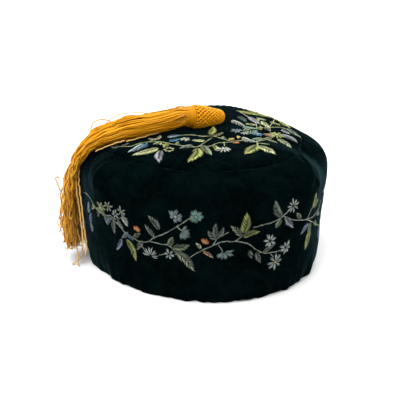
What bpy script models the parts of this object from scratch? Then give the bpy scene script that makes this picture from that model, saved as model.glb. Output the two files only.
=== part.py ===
"""Smoking cap: a soft velvet pillbox with a gently domed crown and a silk tassel.

The cap stands on its rim. +Z is up, the front is towards -Y, and the origin is
at the middle of the whole object's footprint. Bearings are in degrees, turning
anticlockwise from +X as seen from above, so the front is at 270.
"""

import math
from collections import namedtuple

import bmesh
import bpy
from mathutils import Vector
from mathutils.bvhtree import BVHTree

MM = 0.001

# Driving sizes of the cap
WALL = 2.8 * MM
SEAM_GAP = 0.35 * MM
SEAM_TUCK = 0.9 * MM
HEM_CHAMFER = 0.6 * MM
CAP_CENTRE = Vector((3.0 * MM, 0.0, 0.0))
OVAL_STRETCH = 0.062
OVAL_BEARING = -50.0
SIDE_DROOP = 2.2 * MM
AROUND = 80
SIDE_ROWS_OUTSIDE = 17
SIDE_ROWS_INSIDE = 12
CROWN_ROWS_OUTSIDE = 9
CROWN_ROWS_INSIDE = 7

# Driving sizes of the tassel
HEAD_SIDES = 20
LOCKS_AROUND = 11
POINTS_PER_LOCK = 4
SKIRT_ROWS = 24
LOCK_DEPTH = 0.17
LOCK_TWIST = 70.0
TIP_SIDES = 6
REST_GAP = 0.7 * MM

# The meridian of the side band, from the hem up to the seam with the crown
Station = namedtuple("Station", "radius height")
SIDE_STATIONS = [
    Station(92.6 * MM, 0.0 * MM),
    Station(95.2 * MM, 10.0 * MM),
    Station(96.4 * MM, 26.0 * MM),
    Station(97.4 * MM, 44.0 * MM),
    Station(98.6 * MM, 61.0 * MM),
    Station(99.3 * MM, 74.0 * MM),
    Station(98.2 * MM, 84.0 * MM),
    Station(93.8 * MM, 91.0 * MM),
    Station(87.0 * MM, 95.6 * MM),
    Station(79.4 * MM, 98.0 * MM),
]

# The meridian of the crown, from that seam to the middle
CROWN_STATIONS = [
    Station(79.4 * MM, 98.0 * MM),
    Station(74.0 * MM, 99.8 * MM),
    Station(62.0 * MM, 101.5 * MM),
    Station(44.0 * MM, 102.8 * MM),
    Station(22.0 * MM, 103.5 * MM),
    Station(0.0 * MM, 103.3 * MM),
]

# Dents, ridges and slack in the velvet. Each is a smooth push along the surface's
# normal: where it lies round the cap and how far up the meridian, and how wide it is.
Fold = namedtuple("Fold", "bearing spread up reach push")
FOLDS = [
    Fold(325.0, 6.5, 97.0 * MM, 24.0 * MM, 3.4 * MM),
    Fold(341.0, 8.0, 92.0 * MM, 26.0 * MM, -4.2 * MM),
    Fold(3.0, 13.0, 76.0 * MM, 20.0 * MM, 4.4 * MM),
    Fold(354.0, 22.0, 38.0 * MM, 9.0 * MM, -0.9 * MM),
    Fold(358.0, 22.0, 18.0 * MM, 16.0 * MM, 1.5 * MM),
    Fold(217.0, 7.0, 96.0 * MM, 26.0 * MM, 3.0 * MM),
    Fold(203.0, 8.0, 90.0 * MM, 24.0 * MM, -2.2 * MM),
    Fold(268.0, 30.0, 52.0 * MM, 22.0 * MM, -1.8 * MM),
    Fold(246.0, 9.0, 104.0 * MM, 11.0 * MM, 1.2 * MM),
    Fold(292.0, 10.0, 104.0 * MM, 12.0 * MM, 1.3 * MM),
    Fold(62.0, 22.0, 112.0 * MM, 16.0 * MM, 2.0 * MM),
    Fold(118.0, 22.0, 62.0 * MM, 24.0 * MM, -1.4 * MM),
    Fold(132.0, 30.0, 108.0 * MM, 20.0 * MM, -4.2 * MM),
    Fold(312.0, 18.0, 140.0 * MM, 16.0 * MM, -1.6 * MM),
    Fold(180.0, 20.0, 150.0 * MM, 18.0 * MM, -1.2 * MM),
]

# Puckers of the hem: waves round the rim, fading out up the wall
Ripple = namedtuple("Ripple", "waves phase swell")
HEM_RIPPLES = [
    Ripple(9, 40.0, 0.45 * MM),
    Ripple(14, 115.0, 0.4 * MM),
]
HEM_RIPPLE_REACH = 14.0 * MM

# The netted head of the tassel, turned about its own axis from tip to collar
HeadStation = namedtuple("HeadStation", "along radius")
HEAD_STATIONS = [
    HeadStation(0.0 * MM, 2.2 * MM),
    HeadStation(0.5 * MM, 3.4 * MM),
    HeadStation(1.8 * MM, 4.5 * MM),
    HeadStation(4.2 * MM, 5.2 * MM),
    HeadStation(8.0 * MM, 5.9 * MM),
    HeadStation(13.0 * MM, 7.0 * MM),
    HeadStation(18.5 * MM, 8.1 * MM),
    HeadStation(22.5 * MM, 8.6 * MM),
    HeadStation(25.2 * MM, 8.5 * MM),
    HeadStation(26.6 * MM, 7.8 * MM),
]
COLLAR_STATIONS = [
    HeadStation(27.0 * MM, 7.5 * MM),
    HeadStation(27.6 * MM, 8.4 * MM),
    HeadStation(29.0 * MM, 8.7 * MM),
    HeadStation(31.0 * MM, 8.7 * MM),
    HeadStation(32.4 * MM, 8.4 * MM),
    HeadStation(33.0 * MM, 7.6 * MM),
]
HEAD_TIP = Vector((19.4, 10.1, 109.2)) * MM
HEAD_COLLAR = Vector((-9.2, -2.4, 113.0)) * MM

# The skirt of the tassel: a section a row, from the collar over the crown's edge
# and down beside the wall
SkirtSection = namedtuple("SkirtSection", "x y z half_width half_depth")
SKIRT_SECTIONS = [
    SkirtSection(-11.0 * MM, -3.2 * MM, 113.25 * MM, 6.6 * MM, 6.4 * MM),
    SkirtSection(-14.3 * MM, -4.6 * MM, 113.6 * MM, 8.6 * MM, 7.6 * MM),
    SkirtSection(-22.0 * MM, -7.8 * MM, 112.2 * MM, 9.8 * MM, 7.4 * MM),
    SkirtSection(-36.0 * MM, -11.8 * MM, 110.4 * MM, 12.6 * MM, 7.2 * MM),
    SkirtSection(-50.0 * MM, -15.0 * MM, 109.0 * MM, 14.8 * MM, 7.2 * MM),
    SkirtSection(-62.0 * MM, -17.5 * MM, 106.6 * MM, 14.8 * MM, 6.8 * MM),
    SkirtSection(-73.0 * MM, -19.0 * MM, 103.0 * MM, 13.0 * MM, 6.2 * MM),
    SkirtSection(-81.5 * MM, -19.6 * MM, 98.0 * MM, 11.6 * MM, 5.2 * MM),
    SkirtSection(-88.8 * MM, -20.0 * MM, 90.6 * MM, 10.8 * MM, 4.2 * MM),
    SkirtSection(-93.8 * MM, -20.0 * MM, 82.0 * MM, 10.6 * MM, 4.2 * MM),
    SkirtSection(-96.9 * MM, -20.0 * MM, 73.0 * MM, 10.8 * MM, 4.8 * MM),
    SkirtSection(-98.4 * MM, -20.0 * MM, 62.0 * MM, 11.4 * MM, 5.8 * MM),
    SkirtSection(-99.4 * MM, -20.0 * MM, 50.0 * MM, 12.0 * MM, 6.8 * MM),
    SkirtSection(-100.0 * MM, -20.0 * MM, 40.0 * MM, 12.2 * MM, 7.0 * MM),
    SkirtSection(-100.2 * MM, -20.0 * MM, 32.0 * MM, 12.0 * MM, 6.8 * MM),
]

# The tips of the locks below the skirt's last section: how far down each reaches
# and how far it splays outwards, taken in turn round the skirt
LockTip = namedtuple("LockTip", "drop splay")
LOCK_TIPS = [
    LockTip(18.5 * MM, 2.5 * MM),
    LockTip(16.0 * MM, 1.0 * MM),
    LockTip(20.5 * MM, 0.5 * MM),
    LockTip(17.5 * MM, 2.0 * MM),
    LockTip(21.0 * MM, 1.2 * MM),
    LockTip(15.0 * MM, 3.2 * MM),
]

VELVET = (0.006, 0.012, 0.016)
GOLD_SILK = (0.80, 0.38, 0.03)
WOUND_SILK = (0.70, 0.33, 0.03)


def smooth_step(value):
    """0 below 0, 1 above 1, and a smooth rise between."""
    t = min(1.0, max(0.0, value))
    return t * t * (3.0 - 2.0 * t)


def along_curve(points, share):
    """The point at this share, 0 to 1, of a smooth curve through the points."""
    spans = len(points) - 1
    place = min(max(share, 0.0), 1.0) * spans
    i = min(int(place), spans - 1)
    t = place - i
    p1, p2 = points[i], points[i + 1]
    p0 = points[i - 1] if i > 0 else 2.0 * p1 - p2
    p3 = points[i + 2] if i + 2 < len(points) else 2.0 * p2 - p1
    return 0.5 * (
        2.0 * p1
        + (p2 - p0) * t
        + (2.0 * p0 - 5.0 * p1 + 4.0 * p2 - p3) * t * t
        + (3.0 * p1 - p0 - 3.0 * p2 + p3) * t * t * t
    )


def meridian(stations):
    """The stations as points of the meridian plane: radius, 0, height."""
    return [Vector((s.radius, 0.0, s.height)) for s in stations]


def length_along(points, share):
    """How long the smooth curve is up to this share of it."""
    steps = 24
    walked = [along_curve(points, share * k / steps) for k in range(steps + 1)]
    return sum((b - a).length for a, b in zip(walked, walked[1:]))


SIDE_LINE = meridian(SIDE_STATIONS)
CROWN_LINE = meridian(CROWN_STATIONS)
SIDE_LENGTH = length_along(SIDE_LINE, 1.0)


def degrees_between(a, b):
    """The difference of two bearings, from -180 to 180."""
    return (a - b + 180.0) % 360.0 - 180.0


def oval(bearing):
    """How much the plan is stretched at this bearing: a head-shaped oval."""
    turn = math.radians(2.0 * (bearing - OVAL_BEARING))
    return 1.0 + OVAL_STRETCH * math.cos(turn)


def fold_push(bearing, up):
    """The sum of the folds here, which fades out at the middle of the crown."""
    push = 0.0
    for fold in FOLDS:
        round_cap = degrees_between(bearing, fold.bearing) / fold.spread
        up_cap = (up - fold.up) / fold.reach
        push += fold.push * math.exp(-0.5 * (round_cap**2 + up_cap**2))
    return push


def hem_push(bearing, up):
    """The puckers of the hem."""
    fade = math.exp(-((up / HEM_RIPPLE_REACH) ** 2))
    turns = (r.swell * math.sin(math.radians(r.waves * bearing + r.phase)) for r in HEM_RIPPLES)
    return fade * sum(turns)


def smooth_surface(line, bearing, share):
    """A point of the cap before its folds, in the cap's own frame."""
    at = along_curve(line, share)
    radius = at.x * oval(bearing)
    angle = math.radians(bearing)
    high = smooth_step((at.z - 45.0 * MM) / (52.0 * MM)) * (at.x / SIDE_LINE[-1].x) ** 2
    droop = SIDE_DROOP * high * math.cos(angle) ** 2
    return Vector((radius * math.cos(angle), radius * math.sin(angle), at.z - droop))


def smooth_normal(line, bearing, share):
    """The outward normal there, from two short steps along the surface."""
    if share > 0.999 and line is CROWN_LINE:
        return Vector((0.0, 0.0, 1.0))
    low, high = max(share - 0.01, 0.0), min(share + 0.01, 1.0)
    up = smooth_surface(line, bearing, high) - smooth_surface(line, bearing, low)
    across = smooth_surface(line, bearing + 1.0, share) - smooth_surface(line, bearing - 1.0, share)
    return across.cross(up).normalized()


def cap_surface(line, bearing, share, inward=0.0):
    """A point of the velvet, or that far inside it, with folds and puckers."""
    point = smooth_surface(line, bearing, share)
    normal = smooth_normal(line, bearing, share)
    up = length_along(line, share)
    if line is CROWN_LINE:
        up += SIDE_LENGTH
        middle = smooth_step((1.0 - share) * 3.0)
    else:
        middle = 1.0
    push = fold_push(bearing, up) * middle + hem_push(bearing, up)
    push -= SEAM_TUCK * math.exp(-(((up - SIDE_LENGTH) / (2.2 * MM)) ** 2))
    return point + normal * (push - inward)


def bearings():
    return [360.0 * k / AROUND for k in range(AROUND)]


def ring(line, share, inward=0.0, height=None):
    """One row of points round the cap. A height, where given, levels the row."""
    row = [cap_surface(line, b, share, inward) for b in bearings()]
    if height is not None:
        for point in row:
            point.z = height
    return [point + CAP_CENTRE for point in row]


def add_rows(mesh, rows, close_rows=False):
    """Skins rows of points with quads, and returns each row's vertices."""
    made = [[mesh.verts.new(p) for p in row] for row in rows]
    pairs = list(zip(made, made[1:]))
    if close_rows:
        pairs.append((made[-1], made[0]))
    for low, high in pairs:
        for k in range(len(low)):
            n = (k + 1) % len(low)
            mesh.faces.new((low[k], low[n], high[n], high[k]))
    return made


def add_cap(mesh, row, middle):
    """Closes a row with a fan to a point in its middle."""
    point = mesh.verts.new(middle)
    for k in range(len(row)):
        mesh.faces.new((row[k], row[(k + 1) % len(row)], point))


def material(name, colour, roughness):
    """A plain cloth or silk finish."""
    made = bpy.data.materials.new(name)
    made.use_nodes = True
    shader = made.node_tree.nodes["Principled BSDF"]
    shader.inputs["Base Color"].default_value = (*colour, 1.0)
    shader.inputs["Roughness"].default_value = roughness
    shader.inputs["Metallic"].default_value = 0.0
    return made


def finish(name, mesh, finish_material, sharp=50.0):
    """Turns the mesh outwards and makes it an object of the scene."""
    bmesh.ops.recalc_face_normals(mesh, faces=mesh.faces[:])
    data = bpy.data.meshes.new(name)
    mesh.to_mesh(data)
    mesh.free()
    data.shade_smooth()
    data.set_sharp_from_angle(angle=math.radians(sharp))
    data.materials.append(finish_material)
    made = bpy.data.objects.new(name, data)
    bpy.context.scene.collection.objects.link(made)
    return made


def side_rows(count, inward=0.0):
    """Rows up the band, from just above the hem to just below the seam."""
    low = HEM_CHAMFER / SIDE_LENGTH
    high = 1.0 - 0.5 * SEAM_GAP / SIDE_LENGTH
    shares = (low + (high - low) * k / (count - 1) for k in range(count))
    return [ring(SIDE_LINE, share, inward) for share in shares]


def crown_rows(count, inward=0.0):
    """Rows up the crown, from the seam nearly to its middle."""
    low = 0.5 * SEAM_GAP / length_along(CROWN_LINE, 1.0)
    high = 0.93
    shares = (low + (high - low) * k / (count - 1) for k in range(count))
    return [ring(CROWN_LINE, share, inward) for share in shares]


def make_side_band(velvet):
    """The band: velvet outside, lining inside, a turned hem and a butted seam."""
    rows = [ring(SIDE_LINE, 0.0, HEM_CHAMFER, 0.0)]
    rows += side_rows(SIDE_ROWS_OUTSIDE)
    rows += side_rows(SIDE_ROWS_INSIDE, WALL)[::-1]
    rows.append(ring(SIDE_LINE, 0.0, WALL - HEM_CHAMFER, 0.0))
    mesh = bmesh.new()
    add_rows(mesh, rows, close_rows=True)
    return finish("side_band", mesh, velvet)


def make_crown_top(velvet):
    """The round top: a soft disc whose edge butts against the band."""
    mesh = bmesh.new()
    rows = crown_rows(CROWN_ROWS_INSIDE, WALL)[::-1] + crown_rows(CROWN_ROWS_OUTSIDE)
    made = add_rows(mesh, rows)
    add_cap(mesh, made[-1], cap_surface(CROWN_LINE, 0.0, 1.0) + CAP_CENTRE)
    add_cap(mesh, made[0], cap_surface(CROWN_LINE, 0.0, 1.0, WALL) + CAP_CENTRE)
    return finish("crown_top", mesh, velvet)


def skin_tree():
    """The cap's outer skin as a tree that answers which of its points is nearest."""
    rows = side_rows(SIDE_ROWS_OUTSIDE) + crown_rows(CROWN_ROWS_OUTSIDE)
    points = [p for row in rows for p in row]
    faces = []
    for r in range(len(rows) - 1):
        for k in range(AROUND):
            n = (k + 1) % AROUND
            low, high = r * AROUND, (r + 1) * AROUND
            faces.append((low + k, low + n, high + n, high + k))
    points.append(cap_surface(CROWN_LINE, 0.0, 1.0) + CAP_CENTRE)
    last = (len(rows) - 1) * AROUND
    for k in range(AROUND):
        faces.append((last + k, last + (k + 1) % AROUND, len(points) - 1))
    return BVHTree.FromPolygons(points, faces)


def lifted(tree, point, gap):
    """The point, moved out where it would come nearer to the cap than the gap."""
    near, normal, _, distance = tree.find_nearest(point)
    outside = (point - near).dot(normal)
    if outside >= 0.0 and distance >= gap:
        return point
    return near + normal * gap


def turned_rows(stations, start, end, sides):
    """Rows of a turned piece whose axis runs from one point towards another."""
    axis = (end - start).normalized()
    side = axis.cross(Vector((0.0, 0.0, 1.0))).normalized()
    up = side.cross(axis)
    rows = []
    for station in stations:
        middle = start + axis * station.along
        row = []
        for k in range(sides):
            angle = 2.0 * math.pi * k / sides
            row.append(middle + (side * math.cos(angle) + up * math.sin(angle)) * station.radius)
        rows.append(row)
    return rows


def make_turned(name, stations, finish_material):
    """A piece of the tassel's head, turned about the line from tip to collar."""
    start = HEAD_TIP + CAP_CENTRE
    end = HEAD_COLLAR + CAP_CENTRE
    axis = (end - start).normalized()
    mesh = bmesh.new()
    made = add_rows(mesh, turned_rows(stations, start, end, HEAD_SIDES))
    add_cap(mesh, made[0], start + axis * stations[0].along)
    add_cap(mesh, made[-1], start + axis * stations[-1].along)
    return finish(name, mesh, finish_material)


def skirt_frame(share):
    """The skirt at this share of its route: its middle, the directions across and
    away from the cap, and its half width and half depth."""
    route = [Vector((s.x, s.y, s.z)) for s in SKIRT_SECTIONS]
    sizes = [Vector((s.half_width, s.half_depth, 0.0)) for s in SKIRT_SECTIONS]
    along = along_curve(route, share + 0.01) - along_curve(route, share - 0.01)
    along.normalize()
    across = Vector((0.0, -1.0, 0.0))
    across = (across - along * across.dot(along)).normalized()
    size = along_curve(sizes, share)
    middle = along_curve(route, share) + CAP_CENTRE
    return middle, across, across.cross(along), size.x, size.y


def lock_outline(turn, twist):
    """How far out the skirt reaches at this turn: one swell for each lock."""
    swell = abs(math.sin(0.5 * LOCKS_AROUND * turn + twist))
    return 1.0 - LOCK_DEPTH * (1.0 - swell)


def skirt_rows(tree):
    """The skirt's sections, with a swell for each lock, lifted clear of the cap."""
    points = LOCKS_AROUND * POINTS_PER_LOCK
    rows = []
    for k in range(SKIRT_ROWS):
        share = k / (SKIRT_ROWS - 1)
        middle, across, away, half_width, half_depth = skirt_frame(share)
        twist = math.radians(LOCK_TWIST) * share
        row = []
        for j in range(points):
            turn = 2.0 * math.pi * j / points
            out = lock_outline(turn, twist)
            offset = across * half_width * math.cos(turn)
            offset += away * half_depth * math.sin(turn)
            row.append(lifted(tree, middle + offset * out, REST_GAP))
        rows.append(row)
    return rows


def tip_rows(turn, tip, tree):
    """One lock's free end: a tapering rope that leaves the skirt's last section."""
    middle, across, away, half_width, half_depth = skirt_frame(1.0)
    inside = 0.68
    root = middle + across * half_width * math.cos(turn) * inside
    root += away * half_depth * math.sin(turn) * inside
    outward = (root - middle).normalized()
    rows = []
    for along, radius in ((-0.30, 2.4), (0.0, 3.3), (0.45, 3.0), (0.85, 2.0), (1.0, 0.9)):
        centre = root + outward * tip.splay * max(along, 0.0) ** 2
        centre.z -= tip.drop * along
        row = []
        for k in range(TIP_SIDES):
            angle = 2.0 * math.pi * k / TIP_SIDES
            spoke = Vector((math.cos(angle), math.sin(angle), 0.0))
            row.append(lifted(tree, centre + spoke * radius * MM, REST_GAP))
        rows.append(row)
    return rows


def make_tip(index, turn, tip, tree):
    """The lock's end, a hidden helper for the union with the skirt."""
    mesh = bmesh.new()
    made = add_rows(mesh, tip_rows(turn, tip, tree))
    for row in (made[0], made[-1]):
        middle = sum((v.co for v in row), Vector()) / len(row)
        add_cap(mesh, row, middle)
    bmesh.ops.recalc_face_normals(mesh, faces=mesh.faces[:])
    data = bpy.data.meshes.new(f"lock_end_{index}")
    mesh.to_mesh(data)
    mesh.free()
    helper = bpy.data.objects.new(f"lock_end_{index}", data)
    helper.hide_render = True
    helper.display_type = "WIRE"
    bpy.context.scene.collection.objects.link(helper)
    return helper


def make_tassel_skirt(silk, tree):
    """The skirt: locks of silk fused along their length, loose at their tips."""
    rows = skirt_rows(tree)
    mesh = bmesh.new()
    made = add_rows(mesh, rows)
    for row in (made[0], made[-1]):
        middle = sum((v.co for v in row), Vector()) / len(row)
        add_cap(mesh, row, middle)
    skirt = finish("tassel_skirt", mesh, silk)
    for index in range(LOCKS_AROUND):
        turn = 2.0 * math.pi * (index + 0.5) / LOCKS_AROUND
        helper = make_tip(index, turn, LOCK_TIPS[index % len(LOCK_TIPS)], tree)
        union = skirt.modifiers.new(f"lock_{index}", "BOOLEAN")
        union.operation = "UNION"
        union.solver = "EXACT"
        union.object = helper
    return skirt


def main():
    for old in list(bpy.data.objects):
        bpy.data.objects.remove(old)
    velvet = material("velvet", VELVET, 0.85)
    silk = material("gold_silk", GOLD_SILK, 0.45)
    wound_silk = material("wound_silk", WOUND_SILK, 0.5)
    make_side_band(velvet)
    make_crown_top(velvet)
    tree = skin_tree()
    make_turned("tassel_head", HEAD_STATIONS, silk)
    make_turned("tassel_collar", COLLAR_STATIONS, wound_silk)
    make_tassel_skirt(silk, tree)


if __name__ == "__main__":
    main()
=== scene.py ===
"""Dresses the smoking cap: crushed velvet, silk embroidery and a gold silk tassel."""

import math
import random
from collections import namedtuple

import bpy
from mathutils import Matrix, Vector, noise
from mathutils.bvhtree import BVHTree


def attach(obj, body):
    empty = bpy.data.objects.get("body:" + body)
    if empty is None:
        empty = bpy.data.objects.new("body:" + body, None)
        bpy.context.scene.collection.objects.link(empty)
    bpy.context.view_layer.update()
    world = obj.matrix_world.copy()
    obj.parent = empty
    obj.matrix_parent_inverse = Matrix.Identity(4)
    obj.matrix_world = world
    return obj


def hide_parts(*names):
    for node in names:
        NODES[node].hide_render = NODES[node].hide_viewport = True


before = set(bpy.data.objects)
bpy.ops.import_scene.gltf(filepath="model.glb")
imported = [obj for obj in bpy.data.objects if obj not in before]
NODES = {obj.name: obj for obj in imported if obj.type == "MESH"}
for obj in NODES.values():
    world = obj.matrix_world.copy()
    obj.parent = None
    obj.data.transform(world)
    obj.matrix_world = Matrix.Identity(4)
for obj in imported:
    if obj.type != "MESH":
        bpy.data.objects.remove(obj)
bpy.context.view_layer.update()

bl_info = {
    "name": "Smoking Cap",
    "version": (1, 0, 0),
    "blender": (4, 5, 0),
    "location": "3D View > Sidebar > Cap",
    "description": "Velvet, embroidery, tassel and stage for a smoking cap",
    "category": "Object",
}

MM = 0.001
CAP_CENTRE = Vector((3.0, 0.0, 0.0)) * MM
FRONT = 270.0

# Embroidery silks: the colour at the base of a leaf or petal, and at its tip (sRGB)
DYES = {
    "lime": ((108, 122, 34), (196, 200, 112)), "lime_white": ((142, 156, 60), (228, 226, 178)),
    "sage_lime": ((118, 130, 68), (186, 192, 130)), "olive": ((104, 108, 50), (158, 156, 86)),
    "olive_grey": ((88, 88, 62), (126, 122, 92)),
    "lime_grey": ((136, 148, 72), (182, 188, 156)), "sage": ((84, 98, 70), (150, 162, 124)),
    "sage_cream": ((92, 104, 76), (186, 190, 158)), "grey": ((80, 86, 76), (136, 142, 130)),
    "grey_green": ((104, 116, 92), (140, 152, 132)), "grey_blue": ((112, 126, 130), (146, 166, 168)),
    "grey_lavender": ((128, 132, 126), (172, 172, 184)),
    "green_lavender": ((116, 128, 72), (176, 172, 196)), "lavender": ((100, 100, 132), (166, 166, 200)),
    "white_lavender": ((162, 162, 152), (160, 160, 190)),
    "white_blue": ((178, 188, 186), (118, 152, 170)), "white_grey": ((208, 208, 196), (158, 160, 152)),
    "white": ((150, 156, 142), (226, 228, 216)), "silver": ((92, 100, 92), (206, 212, 202)),
    "cream": ((166, 164, 132), (214, 210, 178)),
    "pale_blue": ((120, 148, 158), (178, 200, 204)), "blue": ((40, 84, 128), (74, 122, 160)),
    "deep_blue": ((22, 62, 98), (88, 146, 184)), "deep_green": ((20, 58, 42), (38, 84, 66)),
    "teal": ((70, 118, 104), (132, 172, 156)), "teal_green": ((96, 142, 118), (156, 186, 160)),
    "teal_grey": ((92, 112, 106), (138, 158, 150)), "peach": ((178, 128, 92), (216, 178, 140)),
    "orange": ((176, 84, 34), (246, 156, 84)), "yellow": ((186, 140, 48), (226, 194, 104)),
    "stem": ((122, 132, 112), (206, 212, 192)), "stem_lime": ((132, 142, 84), (216, 218, 170)),
}

# A leaf runs from its base to its tip. turn is degrees round the cap from the front,
# to the wearer's left. reach is the height on the band and the radius on the crown,
# and reach and width are in millimetres.
Leaf = namedtuple("Leaf", "turn reach tip_turn tip_reach width dye")
BAND_LEAVES = [Leaf(*row) for row in (
    (-65, 48, -64, 57, 5.0, "pale_blue"), (-63, 41, -62, 49, 5.0, "lavender"),
    (-63, 41, -63, 33, 5.0, "pale_blue"), (-50, 59, -53, 64, 3.6, "cream"),
    (-48, 56, -55, 58, 5.4, "sage_lime"), (-48, 55, -47, 48, 5.4, "grey"),
    (-37, 59, -34, 53, 5.4, "white"), (-43, 53, -43, 43, 4.4, "grey"),
    (-34, 48, -38, 42, 3.6, "grey_blue"), (-34, 46, -31, 43, 3.0, "blue"),
    (-38, 41, -42, 30, 3.6, "lavender"), (-35, 42, -30, 27, 5.6, "lime"),
    (-17, 57, -22, 66, 5.0, "grey"), (-20, 50, -24, 58, 4.2, "grey"), (-13, 45, -11, 52, 4.6, "sage"),
    (-11, 44, -4, 47, 5.2, "sage"), (-10, 41, -2, 27, 6.4, "sage_cream"), (2, 43, 6, 38, 2.8, "peach"),
    (1, 45, -1, 49, 2.6, "cream"), (7, 53, 4, 59, 4.6, "grey"), (7, 54, 7, 65, 4.0, "grey"),
    (8, 55, 10, 62, 3.2, "grey"), (17, 55, 13, 63, 4.6, "sage"), (18, 57, 19, 72, 6.8, "lime"),
    (18, 54, 25, 56, 4.8, "olive"), (21, 42, 22, 36, 3.8, "grey"), (24, 40, 26, 31, 3.8, "grey"),
    (34, 65, 31, 78, 5.6, "grey_green"), (34, 63, 32, 57, 4.8, "sage"),
    (36, 64, 41, 53, 4.8, "green_lavender"), (54, 62, 54, 73, 5.6, "lime"),
    (53, 63, 58, 66, 4.6, "lime"), (61, 53, 65, 56, 4.2, "sage"), (54, 43, 51, 29, 6.2, "lime"),
    (52, 49, 47, 44, 5.0, "lavender"), (53, 49, 54, 39, 5.4, "sage"), (66, 36, 69, 25, 6.4, "lavender"),
    (-57, 60, -60, 54, 3.8, "sage_lime"), (-53, 57, -54, 51, 3.8, "grey"),
    (-40, 55, -37, 50, 3.6, "sage"), (-45, 54, -48, 49, 3.4, "lavender"),
    (-26, 43, -29, 36, 3.8, "grey"), (-31, 45, -27, 50, 3.4, "olive_grey"),
    (27, 39, 32, 43, 3.4, "grey"), (45, 58, 42, 64, 3.6, "sage"), (58, 46, 62, 41, 4.0, "lime"),
    (61, 54, 66, 48, 4.2, "green_lavender"),
)]
CROWN_LEAVES = [Leaf(*row) for row in (
    (-59, 68, -68, 71, 4.6, "grey"), (-59, 67, -63, 59, 4.8, "grey"),
    (-48, 55, -47, 70, 6.4, "pale_blue"), (-44, 61, -47, 52, 4.6, "deep_blue"),
    (-33, 54, -42, 71, 7.4, "lime_white"), (-29, 57, -22, 74, 6.0, "grey_lavender"),
    (-47, 44, -60, 44, 3.8, "cream"), (-48, 42, -60, 34, 3.2, "cream"),
    (-45, 33, -37, 23, 5.4, "white_blue"), (-34, 39, -27, 32, 5.4, "deep_blue"),
    (8, 32, -8, 32, 4.6, "lime_white"), (-6, 42, -16, 49, 5.4, "grey"), (-1, 46, -6, 70, 7.6, "lime"),
    (4, 41, 9, 59, 6.4, "sage"), (26, 20, 102, 12, 5.8, "lime"), (28, 24, 60, 22, 4.0, "olive_grey"),
    (126, 33, 101, 37, 6.2, "white_grey"), (134, 45, 116, 42, 5.4, "deep_green"),
    (98, 35, 92, 46, 6.4, "teal_green"), (72, 37, 86, 46, 6.2, "teal_green"),
    (58, 39, 56, 53, 5.8, "white_grey"), (51, 56, 32, 64, 8.0, "lime"),
    (50, 58, 47, 76, 6.4, "lime_white"), (80, 58, 80, 51, 5.4, "peach"),
    (85, 65, 80, 77, 5.4, "grey_lavender"), (77, 63, 68, 75, 6.0, "lime_grey"),
    (146, 59, 131, 64, 6.0, "lime"), (124, 74, 144, 70, 8.6, "lime"),
    (128, 52, 107, 51, 5.8, "white_lavender"), (114, 56, 97, 57, 5.0, "lime_white"),
    (114, 64, 106, 68, 4.8, "lime"), (122, 76, 105, 76, 6.6, "lime"),
    (99, 72, 88, 80, 5.6, "grey_green"), (95, 66, 89, 71, 4.2, "grey_lavender"),
    (68, 52, 60, 47, 4.0, "teal_green"), (70, 54, 68, 64, 4.2, "sage"), (90, 48, 101, 50, 4.4, "olive"),
    (104, 47, 110, 40, 4.2, "sage_lime"), (112, 50, 120, 57, 4.4, "lime"),
    (97, 53, 88, 56, 4.0, "olive_grey"), (118, 62, 124, 57, 4.4, "lime_grey"),
    (108, 72, 114, 78, 4.6, "lime"), (88, 40, 82, 35, 4.0, "sage"), (36, 33, 44, 27, 4.0, "sage"),
    (16, 43, 14, 51, 4.0, "sage_lime"), (-20, 44, -24, 37, 3.8, "sage"),
    (-32, 44, -30, 51, 4.0, "lime"), (-40, 43, -42, 50, 4.0, "lime_grey"),
)]

# Stems: each is a line of (turn, reach) points
BAND_STEMS = [
    ((-71, 61), (-66, 63), (-60, 62), (-56, 58), (-52, 56), (-47, 56), (-44, 57), (-42, 55), (-38, 58),
     (-35, 62)),
    ((-47, 56), (-42, 53), (-38, 50), (-36, 47), (-34, 46), (-30, 44), (-27, 43.5), (-23, 45), (-20, 49),
     (-18, 51), (-14, 55), (-9, 61), (-4, 68), (-2, 69)),
    ((-28, 43), (-25, 38)),
    ((-22, 45.5), (-18, 45), (-13, 45), (-10, 41)),
    ((-18, 36), (-14, 38)),
    ((-20, 48), (-20, 51)),
    ((-9, 61), (-7, 58)),
    ((-4, 37.5), (1, 43), (6, 48), (10, 51), (15, 51), (18, 56)),
    ((6, 48), (8, 54), (12, 58)),
    ((8, 49), (10, 43)),
    ((15, 51), (20, 48), (24, 42), (28, 38), (35, 37)),
    ((30, 38), (32, 33)),
    ((22, 60), (26, 61), (30, 62), (34, 64), (38, 69)),
    ((35, 65), (40, 60), (49, 55), (51, 60), (53, 64)),
    ((49, 55), (56, 53), (62, 54), (68, 58)),
    ((49, 55), (58, 46), (66, 38), (71, 34)),
]
CROWN_STEMS = [
    ((-70, 67), (-59, 68), (-53, 64), (-52, 56), (-48, 49), (-40, 43), (-27, 43), (-15, 44), (-2, 44),
     (6, 37), (22, 27)),
    ((-48, 49), (-52, 40)),
    ((-37, 23), (-15, 19), (8, 22), (28, 24), (37, 32), (43, 38)),
    ((2, 42), (12, 43), (22, 38), (32, 38), (41, 39)),
    ((30, 38), (25, 45)),
    ((56, 52), (68, 53), (77, 56)),
    ((50, 57), (54, 55), (57, 63)),
    ((41, 37), (50, 41), (56, 47), (55, 53), (50, 58)),
    ((90, 36), (95, 46), (99, 58), (100, 66), (97, 72)),
    ((56, 53), (71, 56), (83, 61)),
    ((95, 46), (112, 49), (133, 53), (148, 60)),
    ((100, 57), (111, 64), (123, 75)),
]

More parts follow.
